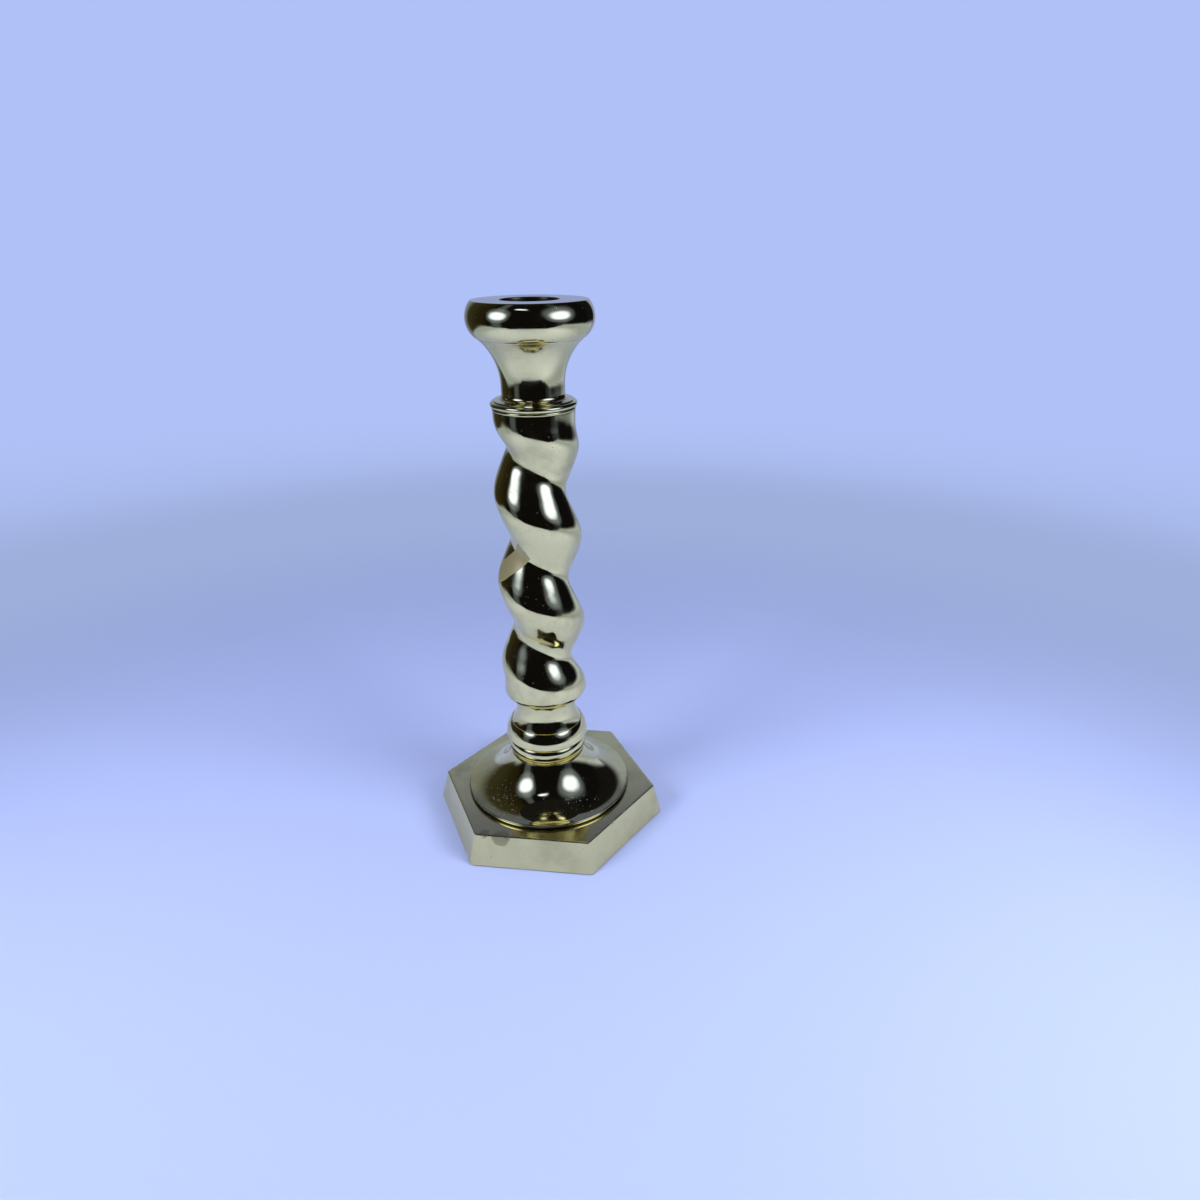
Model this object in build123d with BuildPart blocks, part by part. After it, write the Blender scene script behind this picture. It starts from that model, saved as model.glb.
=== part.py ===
from build123d import *
import os
from math import ceil, cos, pi, radians, sin

os.makedirs("parts", exist_ok=True)

# A brass candle holder that stands on the table at z = 0, with its axis on Z.
# It is a stack of cast and turned sections, pulled together by one rod.

# Fits that all the sections share
fit_gap = 0.1  # between a register and its hole, on the radius
end_gap = 0.3  # past the end of a register
cut_over = 1.0  # how far a cut runs past the face that it starts from

# The rod and its nut
rod_radius = 3.0
rod_end_chamfer = 0.5
rod_hole_gap = 0.3
thread_gap = 0.05
rod_tail = 0.6  # rod below the nut
nut_height = 5.0
nut_across_flats = 10.0
spring_washer_height = 1.6
spring_washer_radius = 5.5
spring_washer_slit = 0.8
washer_height = 1.6
washer_radius = 12.0

# Registers: the round tenons that centre one section in the next
register_radius = 8.0
register_depth = 6.0
pilot_radius = 14.0
pilot_depth = 1.5

# Hexagonal plinth, corner on +X
plinth_height = 14.4
plinth_foot_radius = 53.3  # to a corner, at the table
plinth_top_radius = 49.5  # to a corner, at the top
plinth_wall = 5.0
plinth_deck = 4.6
plinth_corner_round = 1.2
plinth_top_round = 0.5

# Bell foot
bell_height = 18.3
bell_flange_radius = 37.0
bell_edge_height = 1.9
bell_edge_round = 0.6
bell_neck_radius = 16.4
bell_flare_radius = 27.5
bell_core_radius = 10.9
bell_roof = 5.0

# Collar on the bell's neck
foot_collar_height = 7.8
foot_collar_foot_radius = 16.1
foot_collar_radius = 17.3
foot_collar_widest = 5.0  # above its lower face
foot_collar_crown_radius = 15.9

# Knop: bead, fine line and neck
knop_height = 21.0
knop_groove_radius = 15.6
knop_groove_height = 0.7
bead_radius = 18.3
bead_lip_radius = 17.8
bead_lip_height = 0.2
bead_widest = 1.7  # above the knop's lower face
bead_top = 8.5
bead_top_radius = 15.9
neck_foot_radius = 15.5
neck_radius = 13.2
neck_waist = 16.8
neck_top_radius = 13.9

# Twisted column: round sections whose centres circle the axis
column_height = 126.4
column_foot_radius = 18.6
column_shaft_radius = 17.0  # what the taper would reach at the top
column_head_radius = 16.1
column_lip_round = 5.4
twist_lead = 38.3  # height of one turn
twist_start_deg = -6.8  # where the crest stands at the column's foot
twist_throw_foot = 2.9
twist_throw_head = 2.6
twist_fade_foot = 21.9
twist_fade_head = 15.9
sections_per_turn = 10

# Ring on top of the column
ring_height = 4.4
ring_thin_radius = 16.3
ring_thin_height = 1.3
ring_groove_radius = 15.8
ring_bead_radius = 16.9
ring_bead_height = 2.2
ring_crown_radius = 15.5
ring_crown_drop = 0.4

# Cup
cup_height = 22.4
cup_foot_radius = 13.6
cup_waist_radius = 12.3
cup_waist = 4.9  # above the cup's lower face
cup_flare_radius = 18.9
cup_band_height = 1.2
cup_band_radius = 19.7
cup_head_radius = 20.3
nozzle_radius = 14.0
nozzle_height = 4.0
tapped_depth = 8.3  # above the cup's lower face

# Rim and candle socket
rim_height = 13.3
rim_foot_radius = 20.6
rim_radius = 24.15
rim_widest = 7.1
rim_top_radius = 21.9
socket_radius = 11.1
socket_depth = 22.0
socket_edge_chamfer = 0.3

# Heights of the joints
bell_base = plinth_height
foot_collar_base = bell_base + bell_height
knop_base = foot_collar_base + foot_collar_height
column_base = knop_base + knop_height
ring_base = column_base + column_height
cup_base = ring_base + ring_height
rim_base = cup_base + cup_height
rim_top = rim_base + rim_height

deck_under = plinth_height - plinth_deck
washer_base = deck_under - washer_height
spring_washer_base = washer_base - spring_washer_height
nut_base = spring_washer_base - nut_height
rod_base = nut_base - rod_tail
rod_top = cup_base + tapped_depth - end_gap

tenon_radius = register_radius - fit_gap
rod_hole_radius = rod_radius + rod_hole_gap
tapped_radius = rod_radius + thread_gap


# Plinth: two hexagons lofted, hollow below, with a round recess for the bell on top
hexagon_sides = 6
wall_at_corner = plinth_wall / cos(pi / hexagon_sides)
plinth_draft = (plinth_foot_radius - plinth_top_radius) / plinth_height
with BuildPart() as hex_plinth:
    with BuildSketch(Plane.XY):
        RegularPolygon(plinth_foot_radius, hexagon_sides)
    with BuildSketch(Plane.XY.offset(plinth_height)):
        RegularPolygon(plinth_top_radius, hexagon_sides)
    loft()
    fillet(hex_plinth.edges().filter_by(Plane.XY, reverse=True), plinth_corner_round)
    fillet(hex_plinth.faces().sort_by(Axis.Z)[-1].edges(), plinth_top_round)
    with BuildSketch(Plane.XY):
        RegularPolygon(plinth_foot_radius - wall_at_corner, hexagon_sides)
    with BuildSketch(Plane.XY.offset(deck_under)):
        RegularPolygon(plinth_foot_radius - plinth_draft * deck_under - wall_at_corner, hexagon_sides)
    loft(mode=Mode.SUBTRACT)
    with BuildSketch(Plane.XY.offset(plinth_height)):
        Circle(pilot_radius)
    extrude(amount=-pilot_depth - end_gap, mode=Mode.SUBTRACT)
    with BuildSketch(Plane.XY.offset(plinth_height + cut_over)):
        Circle(rod_hole_radius)
    extrude(amount=-plinth_deck - 2 * cut_over, mode=Mode.SUBTRACT)
hex_plinth.part.label = "hex_plinth"
export_step(hex_plinth.part, "parts/hex_plinth.step")


# Bell: a hollow flare from a thin flange up to the neck, with a tenon for the two pieces above
bell_tenon_top = knop_base + register_depth - end_gap
with BuildPart() as bell_foot:
    with BuildSketch(Plane.XZ):
        with BuildLine():
            flange = Polyline(
                (bell_core_radius, bell_base - pilot_depth),
                (pilot_radius - fit_gap, bell_base - pilot_depth),
                (pilot_radius - fit_gap, bell_base),
                (bell_flange_radius, bell_base),
                (bell_flange_radius, bell_base + bell_edge_height),
            )
            flare = RadiusArc(flange @ 1, (bell_neck_radius, foot_collar_base), bell_flare_radius)
            Polyline(
                flare @ 1,
                (tenon_radius, foot_collar_base),
                (tenon_radius, bell_tenon_top),
                (rod_hole_radius, bell_tenon_top),
                (rod_hole_radius, foot_collar_base - bell_roof),
                (bell_core_radius, foot_collar_base - bell_roof),
                flange @ 0,
            )
        make_face()
    revolve(axis=Axis.Z)
    flange_edges = bell_foot.edges().filter_by(GeomType.CIRCLE)
    fillet(flange_edges.sort_by(lambda edge: edge.radius + edge.center().Z)[-1], bell_edge_round)
bell_foot.part.label = "bell_foot"
export_step(bell_foot.part, "parts/bell_foot.step")


# Collar: narrow at its foot, rounded over at its crown
with BuildPart() as foot_collar:
    with BuildSketch(Plane.XZ):
        with BuildLine():
            widest = (foot_collar_radius, foot_collar_base + foot_collar_widest)
            belly = TangentArc(widest, (foot_collar_foot_radius, foot_collar_base), tangent=(0, -1))
            crown = TangentArc(widest, (foot_collar_crown_radius, knop_base), tangent=(0, 1))
            Polyline(crown @ 1, (register_radius, knop_base), (register_radius, foot_collar_base), belly @ 1)
        make_face()
    revolve(axis=Axis.Z)
foot_collar.part.label = "foot_collar"
export_step(foot_collar.part, "parts/foot_collar.step")


# Knop: undercut bead, a step for the fine line, and a waisted neck with a tenon for the column
knop_tenon_top = column_base + register_depth - end_gap
with BuildPart() as knop:
    with BuildSketch(Plane.XZ):
        with BuildLine():
            groove = Polyline(
                (register_radius, knop_base),
                (knop_groove_radius, knop_base),
                (knop_groove_radius, knop_base + knop_groove_height),
                (bead_lip_radius, knop_base + knop_groove_height + bead_lip_height),
            )
            bead_side = (bead_radius, knop_base + bead_widest)
            TangentArc(bead_side, groove @ 1, tangent=(0, -1))
            bead = TangentArc(bead_side, (bead_top_radius, knop_base + bead_top), tangent=(0, 1))
            waist = (neck_radius, knop_base + neck_waist)
            Line(bead @ 1, (neck_foot_radius, knop_base + bead_top))
            TangentArc(waist, (neck_foot_radius, knop_base + bead_top), tangent=(0, -1))
            cove = TangentArc(waist, (neck_top_radius, column_base), tangent=(0, 1))
            Polyline(
                cove @ 1,
                (tenon_radius, column_base),
                (tenon_radius, knop_tenon_top),
                (rod_hole_radius, knop_tenon_top),
                (rod_hole_radius, knop_base + register_depth),
                (register_radius, knop_base + register_depth),
                groove @ 0,
            )
        make_face()
    revolve(axis=Axis.Z)
knop.part.label = "knop"
export_step(knop.part, "parts/knop.step")


# Column: seen from above, the crest turns clockwise as it climbs, and its throw fades out at both ends
def ease(share):
    share = min(max(share, 0), 1)
    return share * share * (3 - 2 * share)


# The circle's centre and radius at a height above the column's foot
def column_section(height):
    climb = height / column_height
    head = 1 - ease((column_height - height) / twist_fade_head)
    reach = column_foot_radius + (column_shaft_radius - column_foot_radius) * climb
    reach -= (column_shaft_radius - column_head_radius) * head
    throw = twist_throw_foot + (twist_throw_head - twist_throw_foot) * climb
    throw *= ease(height / twist_fade_foot) * (1 - head)
    turn = radians(twist_start_deg) - 2 * pi * height / twist_lead
    return (throw * cos(turn), throw * sin(turn)), reach - throw


section_count = ceil(column_height / twist_lead * sections_per_turn)
with BuildPart() as twist_column:
    for index in range(section_count + 1):
        height = column_height * index / section_count
        centre, radius = column_section(height)
        with BuildSketch(Plane.XY.offset(column_base + height)):
            with Locations(centre):
                Circle(radius)
    loft()
    fillet(twist_column.faces().sort_by(Axis.Z)[0].edges(), column_lip_round)
    with BuildSketch(Plane.XY.offset(column_base - cut_over)):
        Circle(register_radius)
    extrude(amount=column_height + 2 * cut_over, mode=Mode.SUBTRACT)
twist_column.part.label = "twist_column"
export_step(twist_column.part, "parts/twist_column.step")


# Ring: a thin bead, a groove and a main bead
with BuildPart() as collar_ring:
    with BuildSketch(Plane.XZ):
        with BuildLine():
            thin_top = ring_base + ring_thin_height
            bead_over = thin_top + ring_bead_height
            lower = Polyline(
                (register_radius, cup_base),
                (register_radius, ring_base),
                (ring_groove_radius, ring_base),
            )
            thin = ThreePointArc(
                lower @ 1,
                (ring_thin_radius, ring_base + ring_thin_height / 2),
                (ring_groove_radius, thin_top),
            )
            main = ThreePointArc(
                thin @ 1,
                (ring_bead_radius, thin_top + ring_bead_height / 2),
                (ring_groove_radius, bead_over),
            )
            Polyline(
                main @ 1,
                (ring_crown_radius, cup_base - ring_crown_drop),
                (cup_foot_radius, cup_base),
                lower @ 0,
            )
        make_face()
    revolve(axis=Axis.Z)
collar_ring.part.label = "collar_ring"
export_step(collar_ring.part, "parts/collar_ring.step")


# Cup: a trumpet with the socket's floor, a nozzle that the rim sits on and a tapped tenon below
cup_tenon_base = ring_base - register_depth + end_gap
socket_floor = rim_top - socket_depth
with BuildPart() as candle_cup:
    with BuildSketch(Plane.XZ):
        with BuildLine():
            waist = (cup_waist_radius, cup_base + cup_waist)
            foot = TangentArc(waist, (cup_foot_radius, cup_base), tangent=(0, -1))
            trumpet = TangentArc(waist, (cup_flare_radius, rim_base - cup_band_height), tangent=(0, 1))
            Polyline(
                trumpet @ 1,
                (cup_band_radius, rim_base - cup_band_height),
                (cup_head_radius, rim_base),
                (nozzle_radius - fit_gap, rim_base),
                (nozzle_radius - fit_gap, rim_base + nozzle_height),
                (socket_radius, rim_base + nozzle_height),
                (socket_radius, socket_floor),
                (0, socket_floor),
                (0, cup_base + tapped_depth),
                (tapped_radius, cup_base + tapped_depth),
                (tapped_radius, cup_tenon_base),
                (tenon_radius, cup_tenon_base),
                (tenon_radius, cup_base),
                foot @ 1,
            )
        make_face()
    revolve(axis=Axis.Z)
candle_cup.part.label = "candle_cup"
export_step(candle_cup.part, "parts/candle_cup.step")


# Rim: a bulge between the cup and the flat top, bored for the candle
with BuildPart() as cup_rim:
    with BuildSketch(Plane.XZ):
        with BuildLine():
            widest = (rim_radius, rim_base + rim_widest)
            under = TangentArc(widest, (rim_foot_radius, rim_base), tangent=(0, -1))
            shoulder = TangentArc(widest, (rim_top_radius, rim_top), tangent=(0, 1))
            Polyline(
                shoulder @ 1,
                (socket_radius + socket_edge_chamfer, rim_top),
                (socket_radius, rim_top - socket_edge_chamfer),
                (socket_radius, rim_base + nozzle_height + end_gap),
                (nozzle_radius, rim_base + nozzle_height + end_gap),
                (nozzle_radius, rim_base),
                under @ 1,
            )
        make_face()
    revolve(axis=Axis.Z)
cup_rim.part.label = "cup_rim"
export_step(cup_rim.part, "parts/cup_rim.step")


# Rod: from below the nut up into the cup's tapped tenon
with BuildPart() as tie_rod:
    with BuildSketch(Plane.XY.offset(rod_base)):
        Circle(rod_radius)
    extrude(amount=rod_top - rod_base)
    chamfer(tie_rod.edges().filter_by(GeomType.CIRCLE), rod_end_chamfer)
tie_rod.part.label = "tie_rod"
export_step(tie_rod.part, "parts/tie_rod.step")


# Wide washer under the plinth's deck
with BuildPart() as rod_washer:
    with BuildSketch(Plane.XY.offset(washer_base)):
        Circle(washer_radius)
        Circle(rod_hole_radius, mode=Mode.SUBTRACT)
    extrude(amount=washer_height)
rod_washer.part.label = "rod_washer"
export_step(rod_washer.part, "parts/rod_washer.step")


# Split spring washer, pressed flat
with BuildPart() as spring_washer:
    with BuildSketch(Plane.XY.offset(spring_washer_base)):
        Circle(spring_washer_radius)
        Circle(rod_hole_radius, mode=Mode.SUBTRACT)
        with Locations((spring_washer_radius, 0)):
            Rectangle(2 * spring_washer_radius, spring_washer_slit, mode=Mode.SUBTRACT)
    extrude(amount=spring_washer_height)
spring_washer.part.label = "spring_washer"
export_step(spring_washer.part, "parts/spring_washer.step")


# Hexagon nut
with BuildPart() as rod_nut:
    with BuildSketch(Plane.XY.offset(nut_base)):
        RegularPolygon(nut_across_flats / 2, hexagon_sides, major_radius=False)
        Circle(tapped_radius, mode=Mode.SUBTRACT)
    extrude(amount=nut_height)
rod_nut.part.label = "rod_nut"
export_step(rod_nut.part, "parts/rod_nut.step")
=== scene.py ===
import bmesh
import bpy
from math import asin, atan2, ceil, cos, degrees, pi, radians, sin
from mathutils import Matrix, Vector


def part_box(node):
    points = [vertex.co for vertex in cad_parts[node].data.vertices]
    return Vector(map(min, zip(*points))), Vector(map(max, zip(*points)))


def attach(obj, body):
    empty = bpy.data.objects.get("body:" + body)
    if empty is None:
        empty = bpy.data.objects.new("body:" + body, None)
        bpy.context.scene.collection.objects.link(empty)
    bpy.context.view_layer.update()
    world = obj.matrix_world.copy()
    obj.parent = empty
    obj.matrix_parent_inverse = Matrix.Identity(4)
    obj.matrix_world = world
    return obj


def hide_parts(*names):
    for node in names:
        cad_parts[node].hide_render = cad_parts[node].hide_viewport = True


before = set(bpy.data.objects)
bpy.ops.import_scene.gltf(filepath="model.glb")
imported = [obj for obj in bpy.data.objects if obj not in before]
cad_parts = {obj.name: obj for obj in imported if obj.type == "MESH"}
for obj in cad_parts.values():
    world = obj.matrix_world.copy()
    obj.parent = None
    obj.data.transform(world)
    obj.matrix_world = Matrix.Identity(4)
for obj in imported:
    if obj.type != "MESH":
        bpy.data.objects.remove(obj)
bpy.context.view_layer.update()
mm = 0.001  # the pieces and the camera are given in millimetres, the stage and the lamps in metres


# Heights that the frame gives, in millimetres
def lowEnd(node):
    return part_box(node)[0].z / mm


def highEnd(node):
    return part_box(node)[1].z / mm


plinthTop = highEnd("hex_plinth")
collarFoot = lowEnd("foot_collar")
knopFoot = highEnd("foot_collar")
columnFoot = lowEnd("twist_column")
columnHead = highEnd("twist_column")
ringHead = highEnd("collar_ring")
rimFoot = lowEnd("cup_rim")
rimHead = highEnd("cup_rim")

# Tenons, bores and the rod, hidden inside the stack
fitValues = {
    "tenonRadius": 7.9,
    "boreRadius": 8.0,
    "rodHoleRadius": 3.3,
    "rodRadius": 3.0,
    "threadGap": 0.05,
    "pilotRadius": 13.9,
    "recessRadius": 14.0,
}

meshValues = {
    "around": 256,  # points round a turned piece
    "arcStep": 0.45,
    "lineStep": 1.5,
    "guard": 0.15,  # a row this near each end of a straight stretch keeps the crease's shading narrow
    "creaseSteps": 6,
    "crease": 0.12,  # softened corner, measured back along both sides
    "creaseShare": 0.45,  # of a stretch, at most
    "creaseTurnDeg": 6.0,  # a join that turns less than this is smooth already
    "sharpDeg": 40.0,
    "weldGap": 0.001,  # points nearer than this become one
}


# Adds one node: its settings, then its inputs by place or by name
# An input gets a value, or a link from a socket or from the first output in use of a node
def addNode(tree, kind, wires={}, **settings):
    node = tree.nodes.new(kind)
    for key, value in settings.items():
        setattr(node, key, value)
    for key, value in wires.items():
        named = [entry for entry in node.inputs if entry.enabled and entry.name == key]
        entry = named[0] if named else node.inputs[key]
        if isinstance(value, bpy.types.Node):
            value = next(out for out in value.outputs if out.enabled)
        if isinstance(value, bpy.types.NodeSocket):
            tree.links.new(value, entry)
        else:
            entry.default_value = value
    return node


# An sRGB hex colour as linear values and full alpha, by the curve of the sRGB standard
def hexToLinear(code):
    parts = [int(code[place:place + 2], 16) / 255 for place in (1, 3, 5)]
    return [part / 12.92 if part <= 0.04045 else ((part + 0.055) / 1.055) ** 2.4 for part in parts] + [1]


# Stretches of an outline are lists of points in the plane of radius and height
def straight(start, end):
    start, end = Vector(start), Vector(end)
    length = (end - start).length
    count = ceil(length / meshValues["lineStep"])
    shares = {step / count for step in range(count + 1)}
    guard = meshValues["guard"] / length
    if guard < 1 / 3:  # a shorter stretch has no room for the rows
        shares |= {guard, 1 - guard}
    return [start.lerp(end, share) for share in sorted(shares)]


# Straight stretches from each point to the next
def straights(*points):
    return [straight(start, end) for start, end in zip(points, points[1:])]


# The arc that leaves start along tangent, a unit vector, and ends at end
def arc(start, end, tangent):
    start, tangent = Vector(start), Vector(tangent)
    chord = Vector(end) - start
    side = Vector((-tangent.y, tangent.x))
    swing = 2 * atan2(chord.dot(side), chord.dot(tangent))
    radius = chord.length / 2 / sin(swing / 2)
    centre = start + side * radius
    count = max(meshValues["creaseSteps"], ceil(abs(radius * swing) / meshValues["arcStep"]))
    return [centre + Matrix.Rotation(swing * step / count, 2) @ (start - centre) for step in range(count + 1)]


# Two arcs from low over middle to high, which stand upright at middle
def swell(low, middle, high):
    return [arc(middle, low, (0, -1))[::-1], arc(middle, high, (0, 1))]


# Takes a length off the end of a stretch
def cutBack(points, length):
    points = list(points)
    while (points[-1] - points[-2]).length < length:
        length -= (points.pop() - points[-1]).length
    last = points.pop()
    return points + [last.lerp(points[-1], length / (last - points[-1]).length)]


# Joins stretches end to end and softens each corner
# creases holds the corners with a size of their own, by the number of the stretch that follows them
def joinStretches(stretches, creases={}, closed=True):
    stretches = [list(stretch) for stretch in stretches]
    lengths = [sum((b - a).length for a, b in zip(stretch, stretch[1:])) for stretch in stretches]
    corners = {}
    for index in range(0 if closed else 1, len(stretches)):
        before, after = stretches[index - 1], stretches[index]
        turn = (before[-1] - before[-2]).angle(after[1] - after[0])
        most = meshValues["creaseShare"] * min(lengths[index - 1], lengths[index])
        if degrees(turn) > meshValues["creaseTurnDeg"]:
            corners[index] = (after[0], min(creases.get(index, meshValues["crease"]), most))
    for index, (corner, size) in corners.items():
        stretches[index - 1] = cutBack(stretches[index - 1], size)
        stretches[index] = cutBack(stretches[index][::-1], size)[::-1]
    outline = []
    for index, stretch in enumerate(stretches):
        if index in corners:
            corner, start, end = corners[index][0], stretches[index - 1][-1], stretch[0]
            for step in range(1, meshValues["creaseSteps"]):
                share = step / meshValues["creaseSteps"]
                outline.append(start.lerp(corner, share).lerp(corner.lerp(end, share), share))
            outline += stretch
        else:
            outline += stretch[1:] if index or closed else stretch
    return outline


# A mesh from rings of points: closed joins the last ring to the first, otherwise both ends get a flat cap
def skinRings(name, rings, closed=True):
    size, count = len(rings[0]), len(rings)
    faces = []
    for ring in range(count if closed else count - 1):
        here, there = ring * size, (ring + 1) % count * size
        for place in range(size):
            beside = (place + 1) % size
            faces.append((here + place, here + beside, there + beside, there + place))
    if not closed:
        faces += [tuple(range(size)), tuple(range(size * (count - 1), size * count))]
    mesh = bpy.data.meshes.new(name)
    mesh.from_pydata([Vector(point) * mm for ring in rings for point in ring], [], faces)
    return finishMesh(mesh)


# Doubles merged, faces outwards, smooth but for true corners
def finishMesh(mesh):
    work = bmesh.new()
    work.from_mesh(mesh)
    bmesh.ops.remove_doubles(work, verts=work.verts, dist=meshValues["weldGap"] * mm)
    bmesh.ops.recalc_face_normals(work, faces=work.faces)
    work.to_mesh(mesh)
    work.free()
    mesh.shade_smooth()
    mesh.set_sharp_from_angle(angle=radians(meshValues["sharpDeg"]))
    return mesh


# Turns an outline round the axis
def turnOutline(name, outline, closed=True):
    around = meshValues["around"]
    turns = [2 * pi * place / around for place in range(around)]
    return skinRings(name, [[(r * cos(a), r * sin(a), z) for a in turns] for r, z in outline], closed)


# Puts a finished mesh in the scene in the place of its CAD node
def addPiece(name, mesh, material, node):
    piece = bpy.data.objects.new(name, mesh)
    bpy.context.scene.collection.objects.link(piece)
    if not mesh.materials:
        mesh.materials.append(material)
    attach(piece, "root")
    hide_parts(node)
    print("made", name, "with", len(mesh.polygons), "faces")


# Brass here is a yellow casting brass. It looks pale because it mirrors the cool paper
brassColors = {
    "metal": "#F5E7A2",
    "tarnishAndShade": "#4A3F20",  # brown oxide where a polishing mop doesn't reach and in smudges; laid in recesses by ambient occlusion, so painted shade there too
    "dust": "#D2CEC2",
    "pit": "#231D0C",
    "bore": "#47422F",
}

# How wear and dirt spread on every finish; a pair gives where something starts and where it is full
brassWear = {
    "ringRadius": 10.0,  # the radius at which a scratch round the axis has its full length
    "smudgeRange": (0.42, 0.72),
    "scratchRange": (0.50, 0.75),
    "scratchShare": 0.35,
    "recessReach": 2.0,  # brown oxide and painted shade stay where another face is this near
    "recessRange": (0.70, 0.30),
    "tarnishRoughness": 0.35,
    "boreEdge": 0.1,
    "speckSpread": 2.5,  # the largest speck against the smallest
    "speckPower": 3.0,  # a higher power leaves fewer large ones
    "speckRoughness": 0.7,
    "crowdSize": 12.0,
    "crowdRange": (0.35, 0.75),
    "faintDust": 0.25,
}

# Turned on a lathe and polished on a mop: close to a mirror, with faint rings round the axis
turnedFinish = {
    "name": "turnedBrass",
    "run": "rings",  # the way that the tool lines go
    "polish": 0.04,
    "haze": 0.15,
    "smudgeSize": 11.0,
    "lineSize": 0.45,  # the tool's feed is about 0.1 mm, drawn coarser so that it shows
    "lineLength": 30.0,
    "lineDepth": 0.0012,
    "waveSize": 8.0,
    "waveDepth": 0.020,
    "fade": 0.16,
    "speckSize": 0.55,
    "speckRadius": 0.16,
    "dustShare": 0.05,
    "pitShare": 0.015,
    "dustyPlaces": (((-17.0, -25.0, 18.5), 13.0), ((17.0, -22.0, 19.0), 8.0)),  # middle and reach
    "dustyGain": 4.4,
    # how far ambient occlusion darkens the recesses: brown oxide there, and painted shade as well
    "oxideAndShadeDepth": 0.86,
    "boreRadius": 11.25,  # the bored candle hole is left as the tool cut it, and has gone brown
    "boreDepth": 0.75,
    "boreRoughness": 0.26,
}

# A sand casting, filed and mopped along its strands: a mirror with soft waves, streaks and a few pits
castFinish = turnedFinish | {
    "name": "moppedCastBrass",
    "run": "strands",
    "polish": 0.045,
    "haze": 0.17,
    "smudgeSize": 9.0,
    "lineSize": 0.7,
    "lineDepth": 0.004,
    "waveSize": 6.0,
    "waveDepth": 0.075,
    "fade": 0.22,
    "pitShare": 0.025,
    "boreRadius": 9.0,
    "boreRoughness": 0.6,
    "patch": {
        "arc": -36.75,  # round the column's skin, measured at arcRadius
        "arcRadius": 15.0,
        "height": 126.1,
        "turnDeg": 41.0,
        "length": 22.0,
        "width": 8.5,
        "tearSize": 1.4,
        "tearDepth": 1.4,
        "edge": (0.9, 0.6),  # past half its length and half its width
        "color": "#A69763",
        "roughness": 0.36,
        "metallic": 0.30,
    },
}

# A sand casting, linished flat: satin on top, finer on the drafted sides, rough as cast underneath
plinthFinish = turnedFinish | {
    "name": "linishedCastBrass",
    "run": "level",
    "metal": "#EBDD9A",
    "polish": 0.13,
    "haze": 0.24,
    "smudgeSize": 16.0,
    "lineSize": 0.4,
    "lineLength": 14.0,
    "lineDepth": 0.0014,
    "waveSize": 12.0,
    "waveDepth": 0.016,
    "dustShare": 0.03,
    "pitShare": 0.025,
    "boreRadius": 0.0,
    "stains": (((-13.4, -43.2, 13.8), 4.0), ((-20.8, -41.4, 14.4), 2.2)),  # middle and radius
    "stainColor": "#82774A",
    "stainRoughness": 0.4,
    "stainShare": 0.52,
    "innerShare": 0.06,
    "stainEdge": (1.2, 0.4),  # past the stain's radius
    "innerEdge": (0.2, -1.2),
    "wanderSize": 2.5,
    "wanderDepth": 1.6,
    "castColor": "#A8915A",
    "castRoughness": 0.62,
    "castDepth": 0.12,
    "castGrain": 0.9,
    "castSideEdge": (0.3, 0.0),  # past the hollow's sides
    "castRoofEdge": (0.4, 0.2),  # above its roof
}

# Kinds of node that come often, and their usual settings
mathNode, vectorNode, rangeNode, mixNode, noiseNode = (
    "ShaderNodeMath", "ShaderNodeVectorMath", "ShaderNodeMapRange", "ShaderNodeMix", "ShaderNodeTexNoise")
smooth = {"interpolation_type": "SMOOTHSTEP"}
colors = {"data_type": "RGBA"}


def startMaterial(name):
    material = bpy.data.materials.new(name)
    material.use_nodes = True
    material.node_tree.nodes.clear()
    return material, material.node_tree


# Lays a coat over the look so far: share says where, and the coat holds the shader inputs that it changes
def layCoat(tree, look, share, coat):
    for entry, value in coat.items():
        settings = colors if entry == "Base Color" else {}
        look[entry] = addNode(tree, mixNode, {"Factor": share, "A": look[entry], "B": value}, **settings)


# Coordinates that are drawn out along the tool lines
# Those are rings on a turned piece, strands on the twist and level lines on the plinth
def followTool(tree, values, spot):
    thin = 1 / values["lineLength"]
    if values["run"] == "rings":
        swept = addNode(tree, mathNode, {
            0: spot["angle"], 1: values["ringRadius"] * thin}, operation="MULTIPLY")
        return addNode(tree, "ShaderNodeCombineXYZ", {"X": spot["radius"], "Y": spot["height"], "Z": swept})
    if values["run"] == "strands":
        untwist = addNode(tree, mathNode, {
            0: spot["height"], 1: 2 * pi / values["lead"]}, operation="MULTIPLY")
        straightened = addNode(tree, "ShaderNodeVectorRotate", {
            "Vector": spot["place"], "Angle": untwist}, rotation_type="Z_AXIS")
        return addNode(tree, vectorNode, {0: straightened, 1: (1, 1, thin)}, operation="MULTIPLY")
    return addNode(tree, vectorNode, {0: spot["place"], 1: (thin, thin, 1)}, operation="MULTIPLY")
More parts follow.
